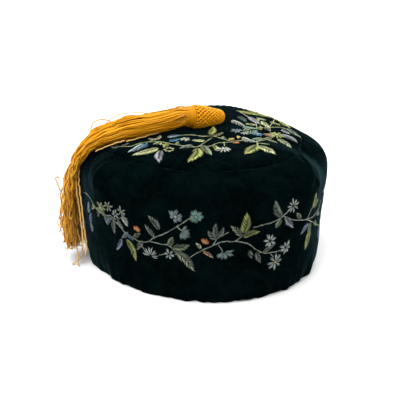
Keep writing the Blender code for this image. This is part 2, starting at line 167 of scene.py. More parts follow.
# Flowers: petals open all round, or over spread degrees about facing, where 0 points
# round the cap to the wearer's left and 90 points up, or out on the crown
Flower = namedtuple("Flower", "turn reach radius petals width hole spread facing dye heart")
BAND_FLOWERS = [Flower(*row) for row in (
    (-45, 64.5, 4.9, 6, 1.7, 0.14, 360, 10, "silver", "olive"),
    (-37, 63.5, 4.7, 6, 1.7, 0.14, 360, 40, "silver", "olive"),
    (-49.5, 62, 3.8, 6, 1.8, 0.14, 360, 30, "sage_lime", None),
    (-41, 60, 3.8, 6, 1.8, 0.14, 360, 70, "silver", None),
    (-29, 51, 4.2, 3, 3.6, 0.0, 80, 80, "orange", None),
    (-9.5, 69, 5.4, 6, 4.0, 0.14, 360, 20, "grey_blue", "cream"),
    (-1, 70, 5.4, 8, 3.4, 0.1, 360, 0, "teal", "teal_green"),
    (-7.5, 57.5, 7.0, 6, 2.8, 0.1, 125, -20, "teal_grey", None),
    (-22, 34, 6.8, 9, 1.1, 0.1, 190, 80, "silver", None),
    (-13, 38, 4.0, 6, 1.8, 0.14, 360, 50, "silver", None),
    (2, 49, 4.2, 3, 3.0, 0.0, 80, 60, "orange", None),
    (10.5, 43, 7.8, 8, 2.2, 0.1, 135, -75, "teal_grey", None),
    (30, 47, 5.8, 7, 2.7, 0.12, 360, 15, "silver", None),
    (38, 38, 5.6, 7, 2.7, 0.12, 360, 50, "silver", None),
    (33, 29, 6.4, 8, 2.4, 0.12, 360, 0, "silver", "yellow"),
    (39.5, 71, 5.9, 9, 1.4, 0.12, 360, 12, "white", None),
)]
CROWN_FLOWERS = [Flower(*row) for row in (
    (-35, 45, 3.2, 6, 1.9, 0.42, 360, 0, "lime_white", None),
    (-24, 53, 4.2, 7, 2.2, 0.42, 360, 20, "lime_white", None),
    (-19, 31, 4.6, 6, 2.6, 0.14, 360, 0, "white", "lime"),
    (21, 51, 6.0, 10, 1.7, 0.12, 360, 8, "white", "white"),
    (48, 33, 3.2, 3, 2.4, 0.0, 90, 60, "yellow", None),
    (56, 35, 3.2, 3, 2.4, 0.0, 90, 120, "yellow", None),
    (43, 40, 3.6, 3, 2.4, 0.0, 90, 80, "orange", None),
    (78, 30, 4.6, 6, 2.4, 0.14, 360, 0, "grey_blue", "blue"),
    (77, 47, 4.6, 7, 2.4, 0.14, 360, 0, "deep_blue", "pale_blue"),
    (83, 61, 6.4, 9, 1.9, 0.1, 360, 5, "lime", "lime_white"),
    (73, 37, 3.0, 5, 1.8, 0.14, 360, 0, "white", None),
)]

# A leaf's swell along its length, at its widest
LEAF_BULGE = 0.44 ** 0.55 * 0.56 ** 0.7

# One stem stitch: how far along, how high and how far aside its four points lie
STEM_STITCH = ((-1.0, -0.35, -0.7), (-0.45, 0.8, -0.3), (0.45, 0.8, 0.3), (1.0, -0.35, 0.7))

# The charts show what the photograph shows. These copies carry them on round the back:
# rows from first to last turn are laid again, turned on by shift degrees
Repeat = namedtuple("Repeat", "first last shift")
BAND_REPEATS = [Repeat(-90, 90, 0), Repeat(-72, 72, 143), Repeat(-0.5, 72, 215.5)]
CROWN_REPEATS = [Repeat(-180, 180, 0), Repeat(-58, 53, 232)]

# The tassel's skirt, from the collar over the crown's edge and down beside the band,
# in millimetres from the cap's centre
SkirtSection = namedtuple("SkirtSection", "x y z half_width half_depth")
SKIRT_SECTIONS = [SkirtSection(*row) for row in (
    (-9.5, -2.6, 113.1, 7.0, 6.8), (-14.3, -4.6, 113.4, 7.9, 7.5), (-22.0, -7.8, 112.2, 9.6, 7.4),
    (-36.0, -11.8, 110.4, 12.4, 7.2), (-50.0, -15.0, 109.0, 14.8, 7.2),
    (-62.0, -17.5, 106.6, 14.8, 6.8), (-73.0, -19.0, 103.0, 13.2, 6.2), (-81.5, -19.6, 98.0, 11.8, 5.4),
    (-88.8, -20.0, 90.6, 11.0, 4.6), (-93.8, -20.0, 82.0, 10.8, 4.6), (-96.9, -20.0, 73.0, 11.0, 5.2),
    (-99.2, -20.0, 62.0, 11.8, 6.6), (-100.6, -20.0, 50.0, 12.4, 7.6), (-101.2, -20.2, 38.0, 12.8, 8.2),
    (-101.0, -20.5, 25.0, 12.8, 8.4), (-100.6, -21.0, 12.0, 13.0, 8.2),
)]

# The skirt's strands gather in this many locks, and the first share of them lies hidden.
# Each strand turns on from the one before it by the golden angle, in radians.
LOCKS = 66
HIDDEN_SHARE = 0.34
GOLDEN_ANGLE = 2.399963

# Stations along a strand that shows and along a hidden one, and how far off the velvet
# a strand, the loop at its end and a stray stay
FINE_ROWS = 96
COARSE_ROWS = 40
STRAND_GAP = 1.1 * MM
LOOP_GAP = 0.8 * MM
STRAY_GAP = 0.9 * MM

# Without it, noise_vector takes its seed from the clock
SKIRT_SEED = 7

# Single strands that stray from the skirt, in millimetres from the cap's centre
STRAYS = [
    ((-91, -24, 82), (-91.6, -28, 72), (-90.6, -32, 61), (-89.4, -35, 49), (-88.0, -38, 35),
     (-86.6, -40, 21), (-87.8, -41, 13)),
    ((-94, -25, 78), (-93.4, -30, 64), (-92.0, -33, 51), (-90.8, -35.5, 40), (-89.6, -38, 28),
     (-90.2, -38, 18)),
    ((-97, -27, 42), (-94.5, -28, 27), (-92.0, -29, 15), (-91.4, -30, 9), (-94, -31, 5), (-97.5, -32, 2),
     (-100, -33, 0.9)),
    ((-99, -27, 40), (-97.5, -30, 26), (-96, -32, 16), (-94.5, -33, 9), (-95.2, -34, 4),
     (-94.0, -35.5, 1.1)),
    ((-103, -22, 52), (-106.5, -23, 58), (-108.6, -24, 65), (-110.0, -24, 70.5), (-107.2, -23, 71.2)),
    ((-66, -9, 110), (-72, -10, 113), (-78, -11, 112.6), (-82, -12, 108), (-82.6, -13, 104)),
    ((-104, -22, 52), (-107.5, -23, 46), (-108.8, -24, 38), (-108.0, -25, 30), (-109.6, -25, 25)),
    ((-55, -33, 103.6), (-63, -34.5, 101.6), (-70, -34, 99.0), (-77, -33, 95.2)),
    ((-30, -19, 105.2), (-38, -24, 104.6), (-46, -28.5, 103.8), (-54, -32.4, 102.8)),
]

# Where the tassel's head begins and ends, in millimetres from the cap's centre
HEAD_TIP = Vector((19.4, 10.1, 109.2))
HEAD_COLLAR = Vector((-9.2, -2.4, 113.0))
HEAD_AXIS = (HEAD_COLLAR - HEAD_TIP).normalized()
HEAD_SIDE = HEAD_AXIS.cross(Vector((0.0, 0.0, 1.0))).normalized()
HEAD_UP = HEAD_SIDE.cross(HEAD_AXIS)

# The head's radius along its axis, and the strands of silk in its core
HeadStation = namedtuple("HeadStation", "along radius")
HEAD_STATIONS = [HeadStation(*row) for row in (
    (0.4, 3.0), (1.8, 4.6), (4.2, 5.4), (8.0, 6.1), (13.0, 7.2), (18.5, 8.3), (22.5, 8.8), (26.4, 8.6),
)]
CORE_STRANDS = 54
CORE_FILL = 1.24

# The collar's two windings, the lower one thick and dark, a painted shade under the upper one: where each
# begins and how far it runs, its radius, the depth of its colour, and its thread's radius in metres
Winding = namedtuple("Winding", "begin run radius depth thread")
WINDINGS = (Winding(27.0, 6.0, 7.75, 0.3, 0.0006), Winding(26.9, 6.2, 8.3, 0.75, 0.00044))
WINDING_TURNS = 9

# Fine creases in the velvet's shoulders, each a short ridge: its two ends and its width
# and push, in millimetres from the cap's centre
Crease = namedtuple("Crease", "start end width push")
CREASES = [Crease(*row) for row in (
    ((75.4, -19.2, 94.4), (75.9, -30.4, 93.3), 2.0, 1.0),
    ((75.9, -30.4, 93.3), (76.8, -48.5, 95.7), 2.1, 1.4),
    ((80.2, -13.5, 93.5), (84.9, -18.7, 91.2), 2.0, 0.9),
    ((65.5, -44.6, 99.6), (71.1, -49.7, 97.5), 2.0, 1.1),
    ((70.6, -54.8, 97.4), (75.6, -60.4, 93.6), 1.9, 1.5),
    ((77.4, -50.6, 95.2), (83.6, -60.4, 85.8), 2.0, 1.2),
    ((82.7, -62.5, 86.0), (80.1, -69.1, 79.6), 2.1, 1.2),
    ((85.9, -59.2, 83.5), (89.3, -55.3, 75.4), 2.2, 1.2),
    ((94.3, -6.1, 89.0), (98.2, -13.3, 82.6), 2.4, 1.3),
    ((-74.4, -54.7, 85.8), (-62.6, -55.8, 94.8), 2.5, 1.7),
    ((-54.2, -74.1, 85.5), (-50.9, -73.3, 89.4), 2.2, 1.0),
    ((-77.1, -53.3, 81.6), (-76.9, -54.6, 74.2), 2.2, 0.8),
    ((72.0, 56.5, 84.5), (63.0, 71.0, 75.0), 2.8, 1.0),
    ((-88.0, 32.0, 86.0), (-95.0, 18.0, 78.0), 2.8, 0.9),
)]

# How low the creases reach, and the crown's seam: how low it reaches, its radius and
# width, and how far it swells and gathers
CREASE_LOWEST = 60.0 * MM
SEAM_LOWEST = 85.0 * MM
SEAM_RADIUS = 78.5 * MM
SEAM_WIDTH = 5.5 * MM
SEAM_SWELL = 0.4 * MM
SEAM_GATHER = 0.22 * MM

# A spot of the crown that is found lower than this has missed it
CROWN_LOWEST = 90.0 * MM

# The crown's rim goes in under the band: from which radius, over which width, how far
RIM_RADIUS = 75.5 * MM
RIM_WIDTH = 3.0 * MM
RIM_TUCK = 2.0 * MM

# The hem: its turned edge, where the inner cloth begins, and how high the ripple reaches
HEM_EDGE = 1.2 * MM
HEM_TURN = 2.5 * MM
HEM_HEIGHT = 13.0 * MM

# The cap's plan is an oval: how much longer it is, and at which bearing
PLAN_STRETCH = 0.062
PLAN_BEARING = -50.0

# The colour of the gold silk's gloss, of the painted highlight on some strands, and of its dusty and pale
# strands
GOLD_GLOSS = (1.0, 0.64, 0.08)
HIGHLIGHT_SILK = Vector((1.0, 0.59, 0.05))
DUSTY_SILK = Vector((0.42, 0.27, 0.13))
PALE_SILK = Vector((0.8, 0.6, 0.28))

# The lamps: place and size in metres, share of the key's power, and colour
LAMPS = (
    ("lamp_above", (-0.35, -0.25, 1.3), 1.0, 1.0, (1.0, 1.0, 1.0)),
    ("lamp_behind", (0.5, 1.1, 0.9), 1.0, 0.8, (0.97, 0.99, 1.0)),
    ("lamp_right", (1.2, 0.2, 0.6), 0.8, 0.3, (1.0, 1.0, 1.0)),
)

# How bright the backdrop is, so that the floor has no far edge
BACKDROP = 0.92

# The camera stands where the photographer stood
CAMERA_AIM = Vector((3.0, 0.0, 60.0)) * MM
CAMERA_DISTANCE = 700.0 * MM
CAMERA_ELEVATION = 21.0
CAMERA_LENS = 78.75
CAMERA_TILT = 1.35
CAMERA_PAN = 0.105


def colour_setting(name, description, default, top=1.0):
    """A colour among a group's settings."""
    return bpy.props.FloatVectorProperty(
        name=name, description=description, subtype="COLOR", size=3, min=0.0, max=top, default=default)


def length_setting(name, description, low, high, default):
    """A length among a group's settings, in metres."""
    return bpy.props.FloatProperty(
        name=name, description=description, subtype="DISTANCE", unit="LENGTH",
        min=low, max=high, default=default)


def count_setting(name, description, low, high, default):
    """A whole number among a group's settings."""
    return bpy.props.IntProperty(
        name=name, description=description, min=low, max=high, default=default)


class CapVelvetSettings(bpy.types.PropertyGroup):
    """The velvet of the band and the crown."""

    pile: colour_setting(
        "Pile", "Colour of the velvet seen straight on", (0.0002, 0.0009, 0.0009))
    # crushed_sheen: the crushed pile painted lighter, a painted sheen
    crushed_sheen: colour_setting(
        "Crushed pile", "Colour where the pile is brushed or worn", (0.0010, 0.0038, 0.0042))
    slack: length_setting(
        "Slack", "How far the cloth wanders from its drawn shape", 0.0, 0.003, 0.0006)
    puckers: count_setting("Puckers", "Small gathers round the crown's seam", 0, 200, 84)
    ripple: length_setting("Ripple", "How far the hem waves in and out", 0.0, 0.006, 0.0023)


class CapEmbroiderySettings(bpy.types.PropertyGroup):
    """The silk stitches."""

    thread: length_setting("Thread", "Width of one laid thread", 0.0002, 0.002, 0.00056)
    lift: length_setting("Lift", "How high the satin stitches stand", 0.0, 0.002, 0.00045)
    stem: length_setting("Stem", "Width of a stem", 0.0003, 0.003, 0.00085)
    seed: count_setting("Seed", "Hand of the stitcher", 0, 1000, 7)
    # band_wear is painted shade: it darkens and cools the silk round the band, which takes less light from
    # above than the crown
    band_wear: colour_setting(
        "Band wear", "How handling has dulled the silk round the band", (0.52, 0.6, 0.68), 1.5)
    # crown_wear tints the silk of the crown a little towards green and blue
    crown_wear: colour_setting(
        "Crown wear", "How light has paled the silk of the crown", (0.95, 1.05, 1.08), 1.5)


class CapTasselSettings(bpy.types.PropertyGroup):
    """The silk of the tassel."""

    strands: count_setting("Strands", "Strands in the skirt", 20, 600, 380)
    strand: length_setting("Strand", "Thickness of one strand", 0.0003, 0.003, 0.00092)
    net: count_setting("Net", "Cords of the net in each direction", 4, 40, 17)
    bright: colour_setting("Bright silk", "Colour of the fresh silk", (1.0, 0.43, 0.005))
    # depth_shade is painted shade: the darker colour that strands are blended towards deep in the skirt,
    # in the head's core and in the collar's lower winding
    depth_shade: colour_setting(
        "Aged silk", "Colour of the silk in the skirt's depth", (0.29, 0.082, 0.003))


class CapStageSettings(bpy.types.PropertyGroup):
    """Floor and light."""

    floor: colour_setting("Floor", "Colour of the floor", (0.94, 0.94, 0.94))
    sky: bpy.props.FloatProperty(
        name="Sky", description="Strength of the even light", min=0.0, max=10.0, default=0.6)
    sun: bpy.props.FloatProperty(
        name="Sun", description="Strength of the broad light from above",
        min=0.0, max=10.0, default=1.4)
    key: bpy.props.FloatProperty(
        name="Key", description="Power of the large lamp above", unit="POWER",
        min=0.0, default=15.0)


def clamp(value):
    """The value, held between 0 and 1."""
    return min(1.0, max(0.0, value))


def outward(turn):
    """The level direction from the cap's centre at this turn in degrees from the front."""
    angle = math.radians(FRONT + turn)
    return Vector((math.cos(angle), math.sin(angle), 0.0))


def linear(colour):
    """An sRGB colour of 0 to 255 as linear light."""
    shares = [value / 255.0 for value in colour]
    return Vector([s / 12.92 if s <= 0.04045 else ((s + 0.055) / 1.055) ** 2.4 for s in shares])


def silk_ends(dye):
    """The dye's colours at the base and at the tip."""
    base, tip = DYES[dye]
    return linear(base), linear(tip)


def along_curve(points, share):
    """The point at this share, 0 to 1, of a smooth curve through the points."""
    spans = len(points) - 1
    place = clamp(share) * spans
    i = min(int(place), spans - 1)
    t = place - i
    p1, p2 = points[i], points[i + 1]
    p0 = points[i - 1] if i > 0 else 2.0 * p1 - p2
    p3 = points[i + 2] if i + 2 < len(points) else 2.0 * p2 - p1
    return 0.5 * (
        2.0 * p1
        + (p2 - p0) * t
        + (2.0 * p0 - 5.0 * p1 + 4.0 * p2 - p3) * t * t
        + (3.0 * p1 - p0 - 3.0 * p2 + p3) * t * t * t
    )


class Cloth:
    """The outer skin of the finished velvet, which stitches and strands are laid on."""

    def __init__(self):
        points, faces = [], []
        for name in ("velvet_band", "velvet_crown"):
            mesh = bpy.data.objects[name].data
            start = len(points)
            points += [v.co.copy() for v in mesh.vertices]
            faces += [[start + i for i in p.vertices] for p in mesh.polygons if p.material_index == 0]
        self.tree = BVHTree.FromPolygons(points, faces)

    def band(self, turn, height):
        """The point and normal of the band at this turn and height."""
        out = outward(turn)
        start = CAP_CENTRE + out * 0.2 + Vector((0.0, 0.0, height * MM))
        return self.tree.ray_cast(start, -out)[:2]

    def crown(self, turn, radius):
        """The point and normal of the crown at this turn and radius."""
        flat = CAP_CENTRE + outward(turn) * radius * MM
        place, normal = self.tree.ray_cast(flat + Vector((0.0, 0.0, 0.3)), Vector((0.0, 0.0, -1.0)))[:2]
        if place is None or place.z < CROWN_LOWEST:
            return self.near(flat + Vector((0.0, 0.0, 0.1)))
        return place, normal

    def near(self, point):
        """The nearest point of the velvet, and its normal."""
        return self.tree.find_nearest(point)[:2]

    def lifted(self, point, gap):
        """The point, moved out where it would come nearer than the gap."""
        place, normal, _, distance = self.tree.find_nearest(point)
        if (point - place).dot(normal) >= 0.0 and distance >= gap:
            return point
        return place + normal * gap


def one_of(values, k):
    """The value for point k; a single value stands for all points."""
    return values[k] if isinstance(values, (list, tuple)) else values


class Threads:
    """Collects laid threads, and makes one mesh of them."""

    def __init__(self, colour_cast=(1.0, 1.0, 1.0)):
        self.points, self.dyes, self.faces, self.uvs = [], [], [], []
        self.colour_cast = colour_cast

    def lay(self, path, radii, dyes, sides=4, ups=None, flat=1.0):
        """One thread: a closed tube along the path. Its UVs run round it and along it in mm."""
        start, last = len(self.points), len(path) - 1
        side, walked = None, [0.0]
        for k, point in enumerate(path):
            along = (path[min(k + 1, last)] - path[max(k - 1, 0)]).normalized()
            if ups is not None:
                side = along.cross(ups[k]).normalized()
            elif side is None:
                side = along.orthogonal().normalized()
            else:
                side = (side - along * side.dot(along)).normalized()
            up = side.cross(along)
            for j in range(sides):
                angle = 2.0 * math.pi * (j + 0.5) / sides
                spoke = side * math.cos(angle) + up * (math.sin(angle) * flat)
                self.points.append(point + spoke * one_of(radii, k))
                self.dyes.append(one_of(dyes, k))
            if k > 0:
                walked.append(walked[-1] + (point - path[k - 1]).length / MM)
        for k in range(last):
            low, high = start + k * sides, start + (k + 1) * sides
            for j in range(sides):
                n = (j + 1) % sides
                self.faces.append((low + j, high + j, high + n, low + n))
                u0, u1 = j / sides, (j + 1) / sides
                self.uvs += [(u0, walked[k]), (u0, walked[k + 1]), (u1, walked[k + 1]), (u1, walked[k])]
        first_ring = range(start, start + sides)
        last_ring = range(start + last * sides, start + (last + 1) * sides)
        self.faces += [tuple(first_ring), tuple(reversed(last_ring))]
        self.uvs += [(0.5, walked[0])] * sides + [(0.5, walked[-1])] * sides

    def piece(self, name, material, replaces=(), slot=None):
        """The threads as one object that rides with the cap."""
        mesh = bpy.data.meshes.new(name)
        mesh.from_pydata(self.points, [], self.faces)
        uv = mesh.uv_layers.new(name="UVMap")
        uv.data.foreach_set("uv", [c for pair in self.uvs for c in pair])
        # the dye attribute holds each point's colour: the silk's dye with the painted shade and highlights
        # laid on it
        dye = mesh.attributes.new("dye", "FLOAT_COLOR", "POINT")
        # every colour times the colour cast, which round the band is a painted shade
        recoloured = [(*(c * w for c, w in zip(d, self.colour_cast)), 1.0) for d in self.dyes]
        dye.data.foreach_set("color", [c for d in recoloured for c in d])
        mesh.materials.append(material)
        mesh.shade_smooth()
        mesh.update()
        made = bpy.data.objects.new(name, mesh)
        bpy.context.scene.collection.objects.link(made)
        settle(made, replaces)


def settle(made, replaces):
    """Hangs the piece on the cap's root, and hides the parts that it stands for."""
    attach(made, "root")
    if replaces:
        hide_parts(*replaces)


def set_inputs(node, values):
    """Sets the inputs of a node by name, with _ for a space."""
    for socket, value in values.items():
        node.inputs[socket.replace("_", " ")].default_value = value


def new_material(name, **values):
    """A Principled material, with the constant values on the shader's own sockets."""
    material = bpy.data.materials.new(name)
    material.use_nodes = True
    shader = material.node_tree.nodes["Principled BSDF"]
    set_inputs(shader, values)
    return material, material.node_tree, shader


def add_node(tree, kind, **values):
    """A new shader node with these values on its inputs."""
    made = tree.nodes.new("ShaderNode" + kind)
    set_inputs(made, values)
    return made


def add_math(tree, kind, *values):
    """The result of a Math node; each value is a number or another node's output."""
    made = add_node(tree, "Math")
    made.operation = kind
    for socket, value in zip(made.inputs, values):
        if isinstance(value, (int, float)):
            socket.default_value = value
        else:
            tree.links.new(value, socket)
    return made.outputs[0]


def add_noise(tree, place, scale, detail, distortion=0.0):
    """The value of a noise texture at this place."""
    made = add_node(tree, "TexNoise", Scale=scale, Detail=detail, Distortion=distortion)
    tree.links.new(place, made.inputs["Vector"])
    return made.outputs["Fac"]


def add_stretch(tree, place, scale):
    """The place, scaled along each axis."""
    made = add_node(tree, "Mapping", Scale=scale)
    tree.links.new(place, made.inputs["Vector"])
    return made.outputs[0]


def add_ramp(tree, value, low, high, start=0.0, end=1.0):
    """The low colour where the value is at the start, blended to the high one at the end."""
    made = add_node(tree, "ValToRGB")
    stops = made.color_ramp.elements
    stops[0].position, stops[1].position = start, end
    stops[0].color, stops[1].color = (*low, 1.0), (*high, 1.0)
    tree.links.new(value, made.inputs["Fac"])
    return made.outputs["Color"]


def add_bump(tree, height, strength, depth, normal=None):
    """The normal after a bump of this strength and depth."""
    made = add_node(tree, "Bump", Strength=strength, Distance=depth)
    tree.links.new(height, made.inputs["Height"])
    if normal is not None:
        tree.links.new(normal, made.inputs["Normal"])
    return made.outputs["Normal"]


def twist_group():
    """A group that gives the ridges of plied silk along a thread's UV map."""
    group = bpy.data.node_groups.get("plied_silk")
    if group:
        return group
    group = bpy.data.node_groups.new("plied_silk", "ShaderNodeTree")
    face = group.interface
    for name, value in (("Pitch", 1.4), ("Plies", 2.0), ("Fibre", 0.3)):
        made = face.new_socket(name=name, in_out="INPUT", socket_type="NodeSocketFloat")
        made.default_value = value
    for name in ("Ridge", "Shade"):
        face.new_socket(name=name, in_out="OUTPUT", socket_type="NodeSocketFloat")
    ins, outs = group.nodes.new("NodeGroupInput"), group.nodes.new("NodeGroupOutput")
    uv = add_node(group, "UVMap")
    uv.uv_map = "UVMap"
    split = add_node(group, "SeparateXYZ")
    group.links.new(uv.outputs["UV"], split.inputs[0])
    round_thread = add_math(group, "MULTIPLY", split.outputs["X"], ins.outputs["Plies"])
    along = add_math(group, "DIVIDE", split.outputs["Y"], ins.outputs["Pitch"])
    phase = add_math(group, "MULTIPLY", add_math(group, "ADD", round_thread, along), 2.0 * math.pi)
    wave = add_math(group, "MULTIPLY_ADD", add_math(group, "SINE", phase), 0.5, 0.5)
    grain = add_noise(group, add_stretch(group, uv.outputs["UV"], (3.0, 0.35, 1.0)), 9.0, 2.0)
    fuzz = add_math(group, "MULTIPLY", grain, ins.outputs["Fibre"])
    ridge = add_math(group, "ADD", add_math(group, "POWER", wave, 0.6), fuzz)
    group.links.new(ridge, outs.inputs["Ridge"])
    group.links.new(wave, outs.inputs["Shade"])
    return group


def silk_material(name, roughness, pitch, fibre, depth, shade, gloss):
    """Dyed silk: colour from the dye attribute, with plied ridges and a tinted gloss."""
    tint = (*gloss, 1.0)
    material, tree, shader = new_material(
        name, Roughness=roughness, Sheen_Weight=0.08, Sheen_Roughness=0.35, Sheen_Tint=tint,
        Specular_IOR_Level=0.55, Specular_Tint=tint)
    # the dye attribute brings the painted shade and highlights along with the dye
    dye = add_node(tree, "Attribute")
    dye.attribute_name = "dye"
    twist = add_node(tree, "Group")
    twist.node_tree = twist_group()
    set_inputs(twist, {"Pitch": pitch, "Fibre": fibre})
    # the dye is darkened and warmed in the furrows between the plies: painted shade
    deep = add_node(tree, "Mix")
    deep.data_type = "RGBA"
    deep.blend_type = "MULTIPLY"
    deep.inputs["B"].default_value = (shade, shade * 0.86, shade * 0.7, 1.0)
    furrow = add_math(tree, "SUBTRACT", 1.0, twist.outputs["Shade"])
    tree.links.new(furrow, deep.inputs["Factor"])
    tree.links.new(dye.outputs["Color"], deep.inputs["A"])
    tree.links.new(deep.outputs["Result"], shader.inputs["Base Color"])
    tree.links.new(add_bump(tree, twist.outputs["Ridge"], 0.8, depth), shader.inputs["Normal"])
    return material


def velvet_material(settings):
    """Velvet: a dark pile that pales at grazing angles, with a painted sheen that makes it paler in
    patches where it is brushed and crushed.
    """
    material, tree, shader = new_material(
        "velvet_pile", Roughness=0.95, Specular_IOR_Level=0.0, Sheen_Weight=0.17,
        Sheen_Roughness=0.2, Sheen_Tint=(0.24, 0.50, 0.58, 1.0))
    place = add_node(tree, "TexCoord").outputs["Object"]
    crush = add_noise(tree, place, 30.0, 5.0, 1.6)
    marks = add_noise(tree, place, 170.0, 4.0, 0.6)
    pile = add_noise(tree, place, 1300.0, 2.0)
    # brushed_sheen picks the patches where the crushed pile is painted lighter: painted sheen
    brushed_sheen = add_math(tree, "MULTIPLY_ADD", marks, 0.6, crush)
    brushed_sheen = add_math(tree, "MULTIPLY_ADD", pile, 0.9, brushed_sheen)
    brushed_sheen = add_math(tree, "MULTIPLY", brushed_sheen, 0.44)
    colour = add_ramp(tree, brushed_sheen, settings.pile, settings.crushed_sheen, 0.44, 0.66)
    tree.links.new(colour, shader.inputs["Base Color"])
    normal = add_bump(tree, pile, 0.8, 0.0005)
    normal = add_bump(tree, marks, 0.5, 0.0009, normal)
    normal = add_bump(tree, crush, 0.4, 0.0016, normal)
    tree.links.new(normal, shader.inputs["Normal"])
    return material


def inner_cloth_material():
    """The plain dark cloth of the inside, with a fine weave."""
    material, tree, shader = new_material("inner_cloth", Roughness=0.85, Specular_IOR_Level=0.2)
    place = add_stretch(tree, add_node(tree, "TexCoord").outputs["Object"], (1.0, 1.0, 0.25))
    weave = add_noise(tree, place, 900.0, 2.0)
    colour = add_ramp(tree, weave, (0.010, 0.011, 0.013), (0.030, 0.032, 0.036))
    tree.links.new(colour, shader.inputs["Base Color"])
    tree.links.new(add_bump(tree, weave, 0.4, 0.0002), shader.inputs["Normal"])
    return material


def deselect_all():
    """Leaves edit mode and selects nothing."""
    if bpy.context.object and bpy.context.object.mode != "OBJECT":
        bpy.ops.object.mode_set(mode="OBJECT")
    bpy.ops.object.select_all(action="DESELECT")


def softened_copy(node, name, levels):
    """A merged, smoothed copy of a CAD node, as a piece of its own."""
    made = bpy.data.objects.new(name, NODES[node].data.copy())
    made.data.name = name
    made.data.materials.clear()
    bpy.context.scene.collection.objects.link(made)
    deselect_all()
    made.select_set(True)
    bpy.context.view_layer.objects.active = made
    bpy.ops.object.mode_set(mode="EDIT")
    bpy.ops.mesh.select_all(action="SELECT")
    bpy.ops.mesh.remove_doubles(threshold=0.000002)
    bpy.ops.mesh.tris_convert_to_quads(face_threshold=0.9, shape_threshold=0.9)
    bpy.ops.object.mode_set(mode="OBJECT")
    soften = made.modifiers.new("soften", "SUBSURF")
    soften.levels = soften.render_levels = levels
    bpy.ops.object.modifier_apply(modifier="soften")
    return made


def crease_push(place):
    """How far the creases lift the velvet at this place, in metres."""
    push = 0.0
    for crease in CREASES:
        start = Vector(crease.start)
        way = Vector(crease.end) - start
        off = (place - CAP_CENTRE) / MM - start
        share = clamp(off.dot(way) / way.length_squared)
        far = (off - way * share).length / crease.width
        if far < 3.0:
            push += crease.push * math.exp(-far * far) * (1.0 - 0.6 * (2.0 * share - 1.0) ** 2)
    return push * MM


def slack_push(place, turn, radius, settings):
    """How far the outer skin wanders here: loose cloth, the seam's gathers and the creases."""
    drift = noise.noise(place * 34.0) + 0.5 * noise.noise(place * 90.0 + Vector((3.0, 1.0, 7.0)))
    crush = 1.0 - abs(noise.noise(place * 21.0 + Vector((5.0, 2.0, 1.0)))) * 4.0
    push = settings.slack * (drift - 0.7 * max(crush, 0.0))
    if place.z > SEAM_LOWEST:
        seam = math.exp(-(((radius - SEAM_RADIUS) / SEAM_WIDTH) ** 2))
        gather = math.sin(settings.puckers * turn + 2.5 * noise.noise(place * 30.0))
        push += seam * (SEAM_SWELL + SEAM_GATHER * gather)
    if place.z > CREASE_LOWEST:
        push += crease_push(place)
    return push


def slacken(made, settings):
    """Moves the cloth's points: slack and gathers, the crown's rim, and the rippled hem."""
    normals = [v.normal.copy() for v in made.data.vertices]
    for v, normal in zip(made.data.vertices, normals):
        flat = Vector((v.co.x - CAP_CENTRE.x, v.co.y, 0.0))
        out = flat.normalized()
        turn = math.atan2(flat.y, flat.x)
        oval = 1.0 + PLAN_STRETCH * math.cos(2.0 * (turn - math.radians(PLAN_BEARING)))
        radius = flat.length / oval
        if normal.dot(out) + 0.8 * normal.z > 0.25 and v.co.z > HEM_EDGE:
            v.co += normal * slack_push(v.co, turn, radius, settings)
        if made.name == "velvet_crown" and radius > RIM_RADIUS:
            # the crown's rim slips under the band, so that no light falls through the seam
            v.co += out * RIM_TUCK * min(1.0, (radius - RIM_RADIUS) / RIM_WIDTH)
        hem = math.exp(-((v.co.z / HEM_HEIGHT) ** 2))
        if hem > 0.01:
            ripple = noise.noise(out * 6.0) + 0.8 * noise.noise(out * 15.0 + Vector((0.0, 0.0, 4.0)))
            rise = noise.noise(out * 9.0 + Vector((0.0, 0.0, 8.0))) + 0.6 * noise.noise(out * 24.0)
            v.co += out * (hem * settings.ripple * ripple)
            v.co.z += hem * settings.ripple * 0.7 * max(rise, 0.0)


def line_inside(made, lining):
    """Gives the faces that look inwards the inner cloth."""
    made.data.materials.append(lining)
    for face in made.data.polygons:
        flat = Vector((face.center.x - CAP_CENTRE.x, face.center.y, 0.0))
        facing = face.normal.dot(flat.normalized()) + 0.8 * face.normal.z
        if facing < -0.35 and face.center.z > HEM_TURN:
            face.material_index = 1


class CAP_OT_velvet(bpy.types.Operator):
    """Makes the velvet band and crown, and hides their plain solids"""

    bl_idname = "cap.velvet"
    bl_label = "Velvet"

    def execute(self, context):
        settings = context.scene.cap_velvet
        pile = velvet_material(settings)
        lining = inner_cloth_material()
        for node, name in (("side_band", "velvet_band"), ("crown_top", "velvet_crown")):
            made = softened_copy(node, name, 2)
            made.data.materials.append(pile)
            slacken(made, settings)
            line_inside(made, lining)
            made.data.shade_smooth()
            settle(made, (node,))
        return {"FINISHED"}


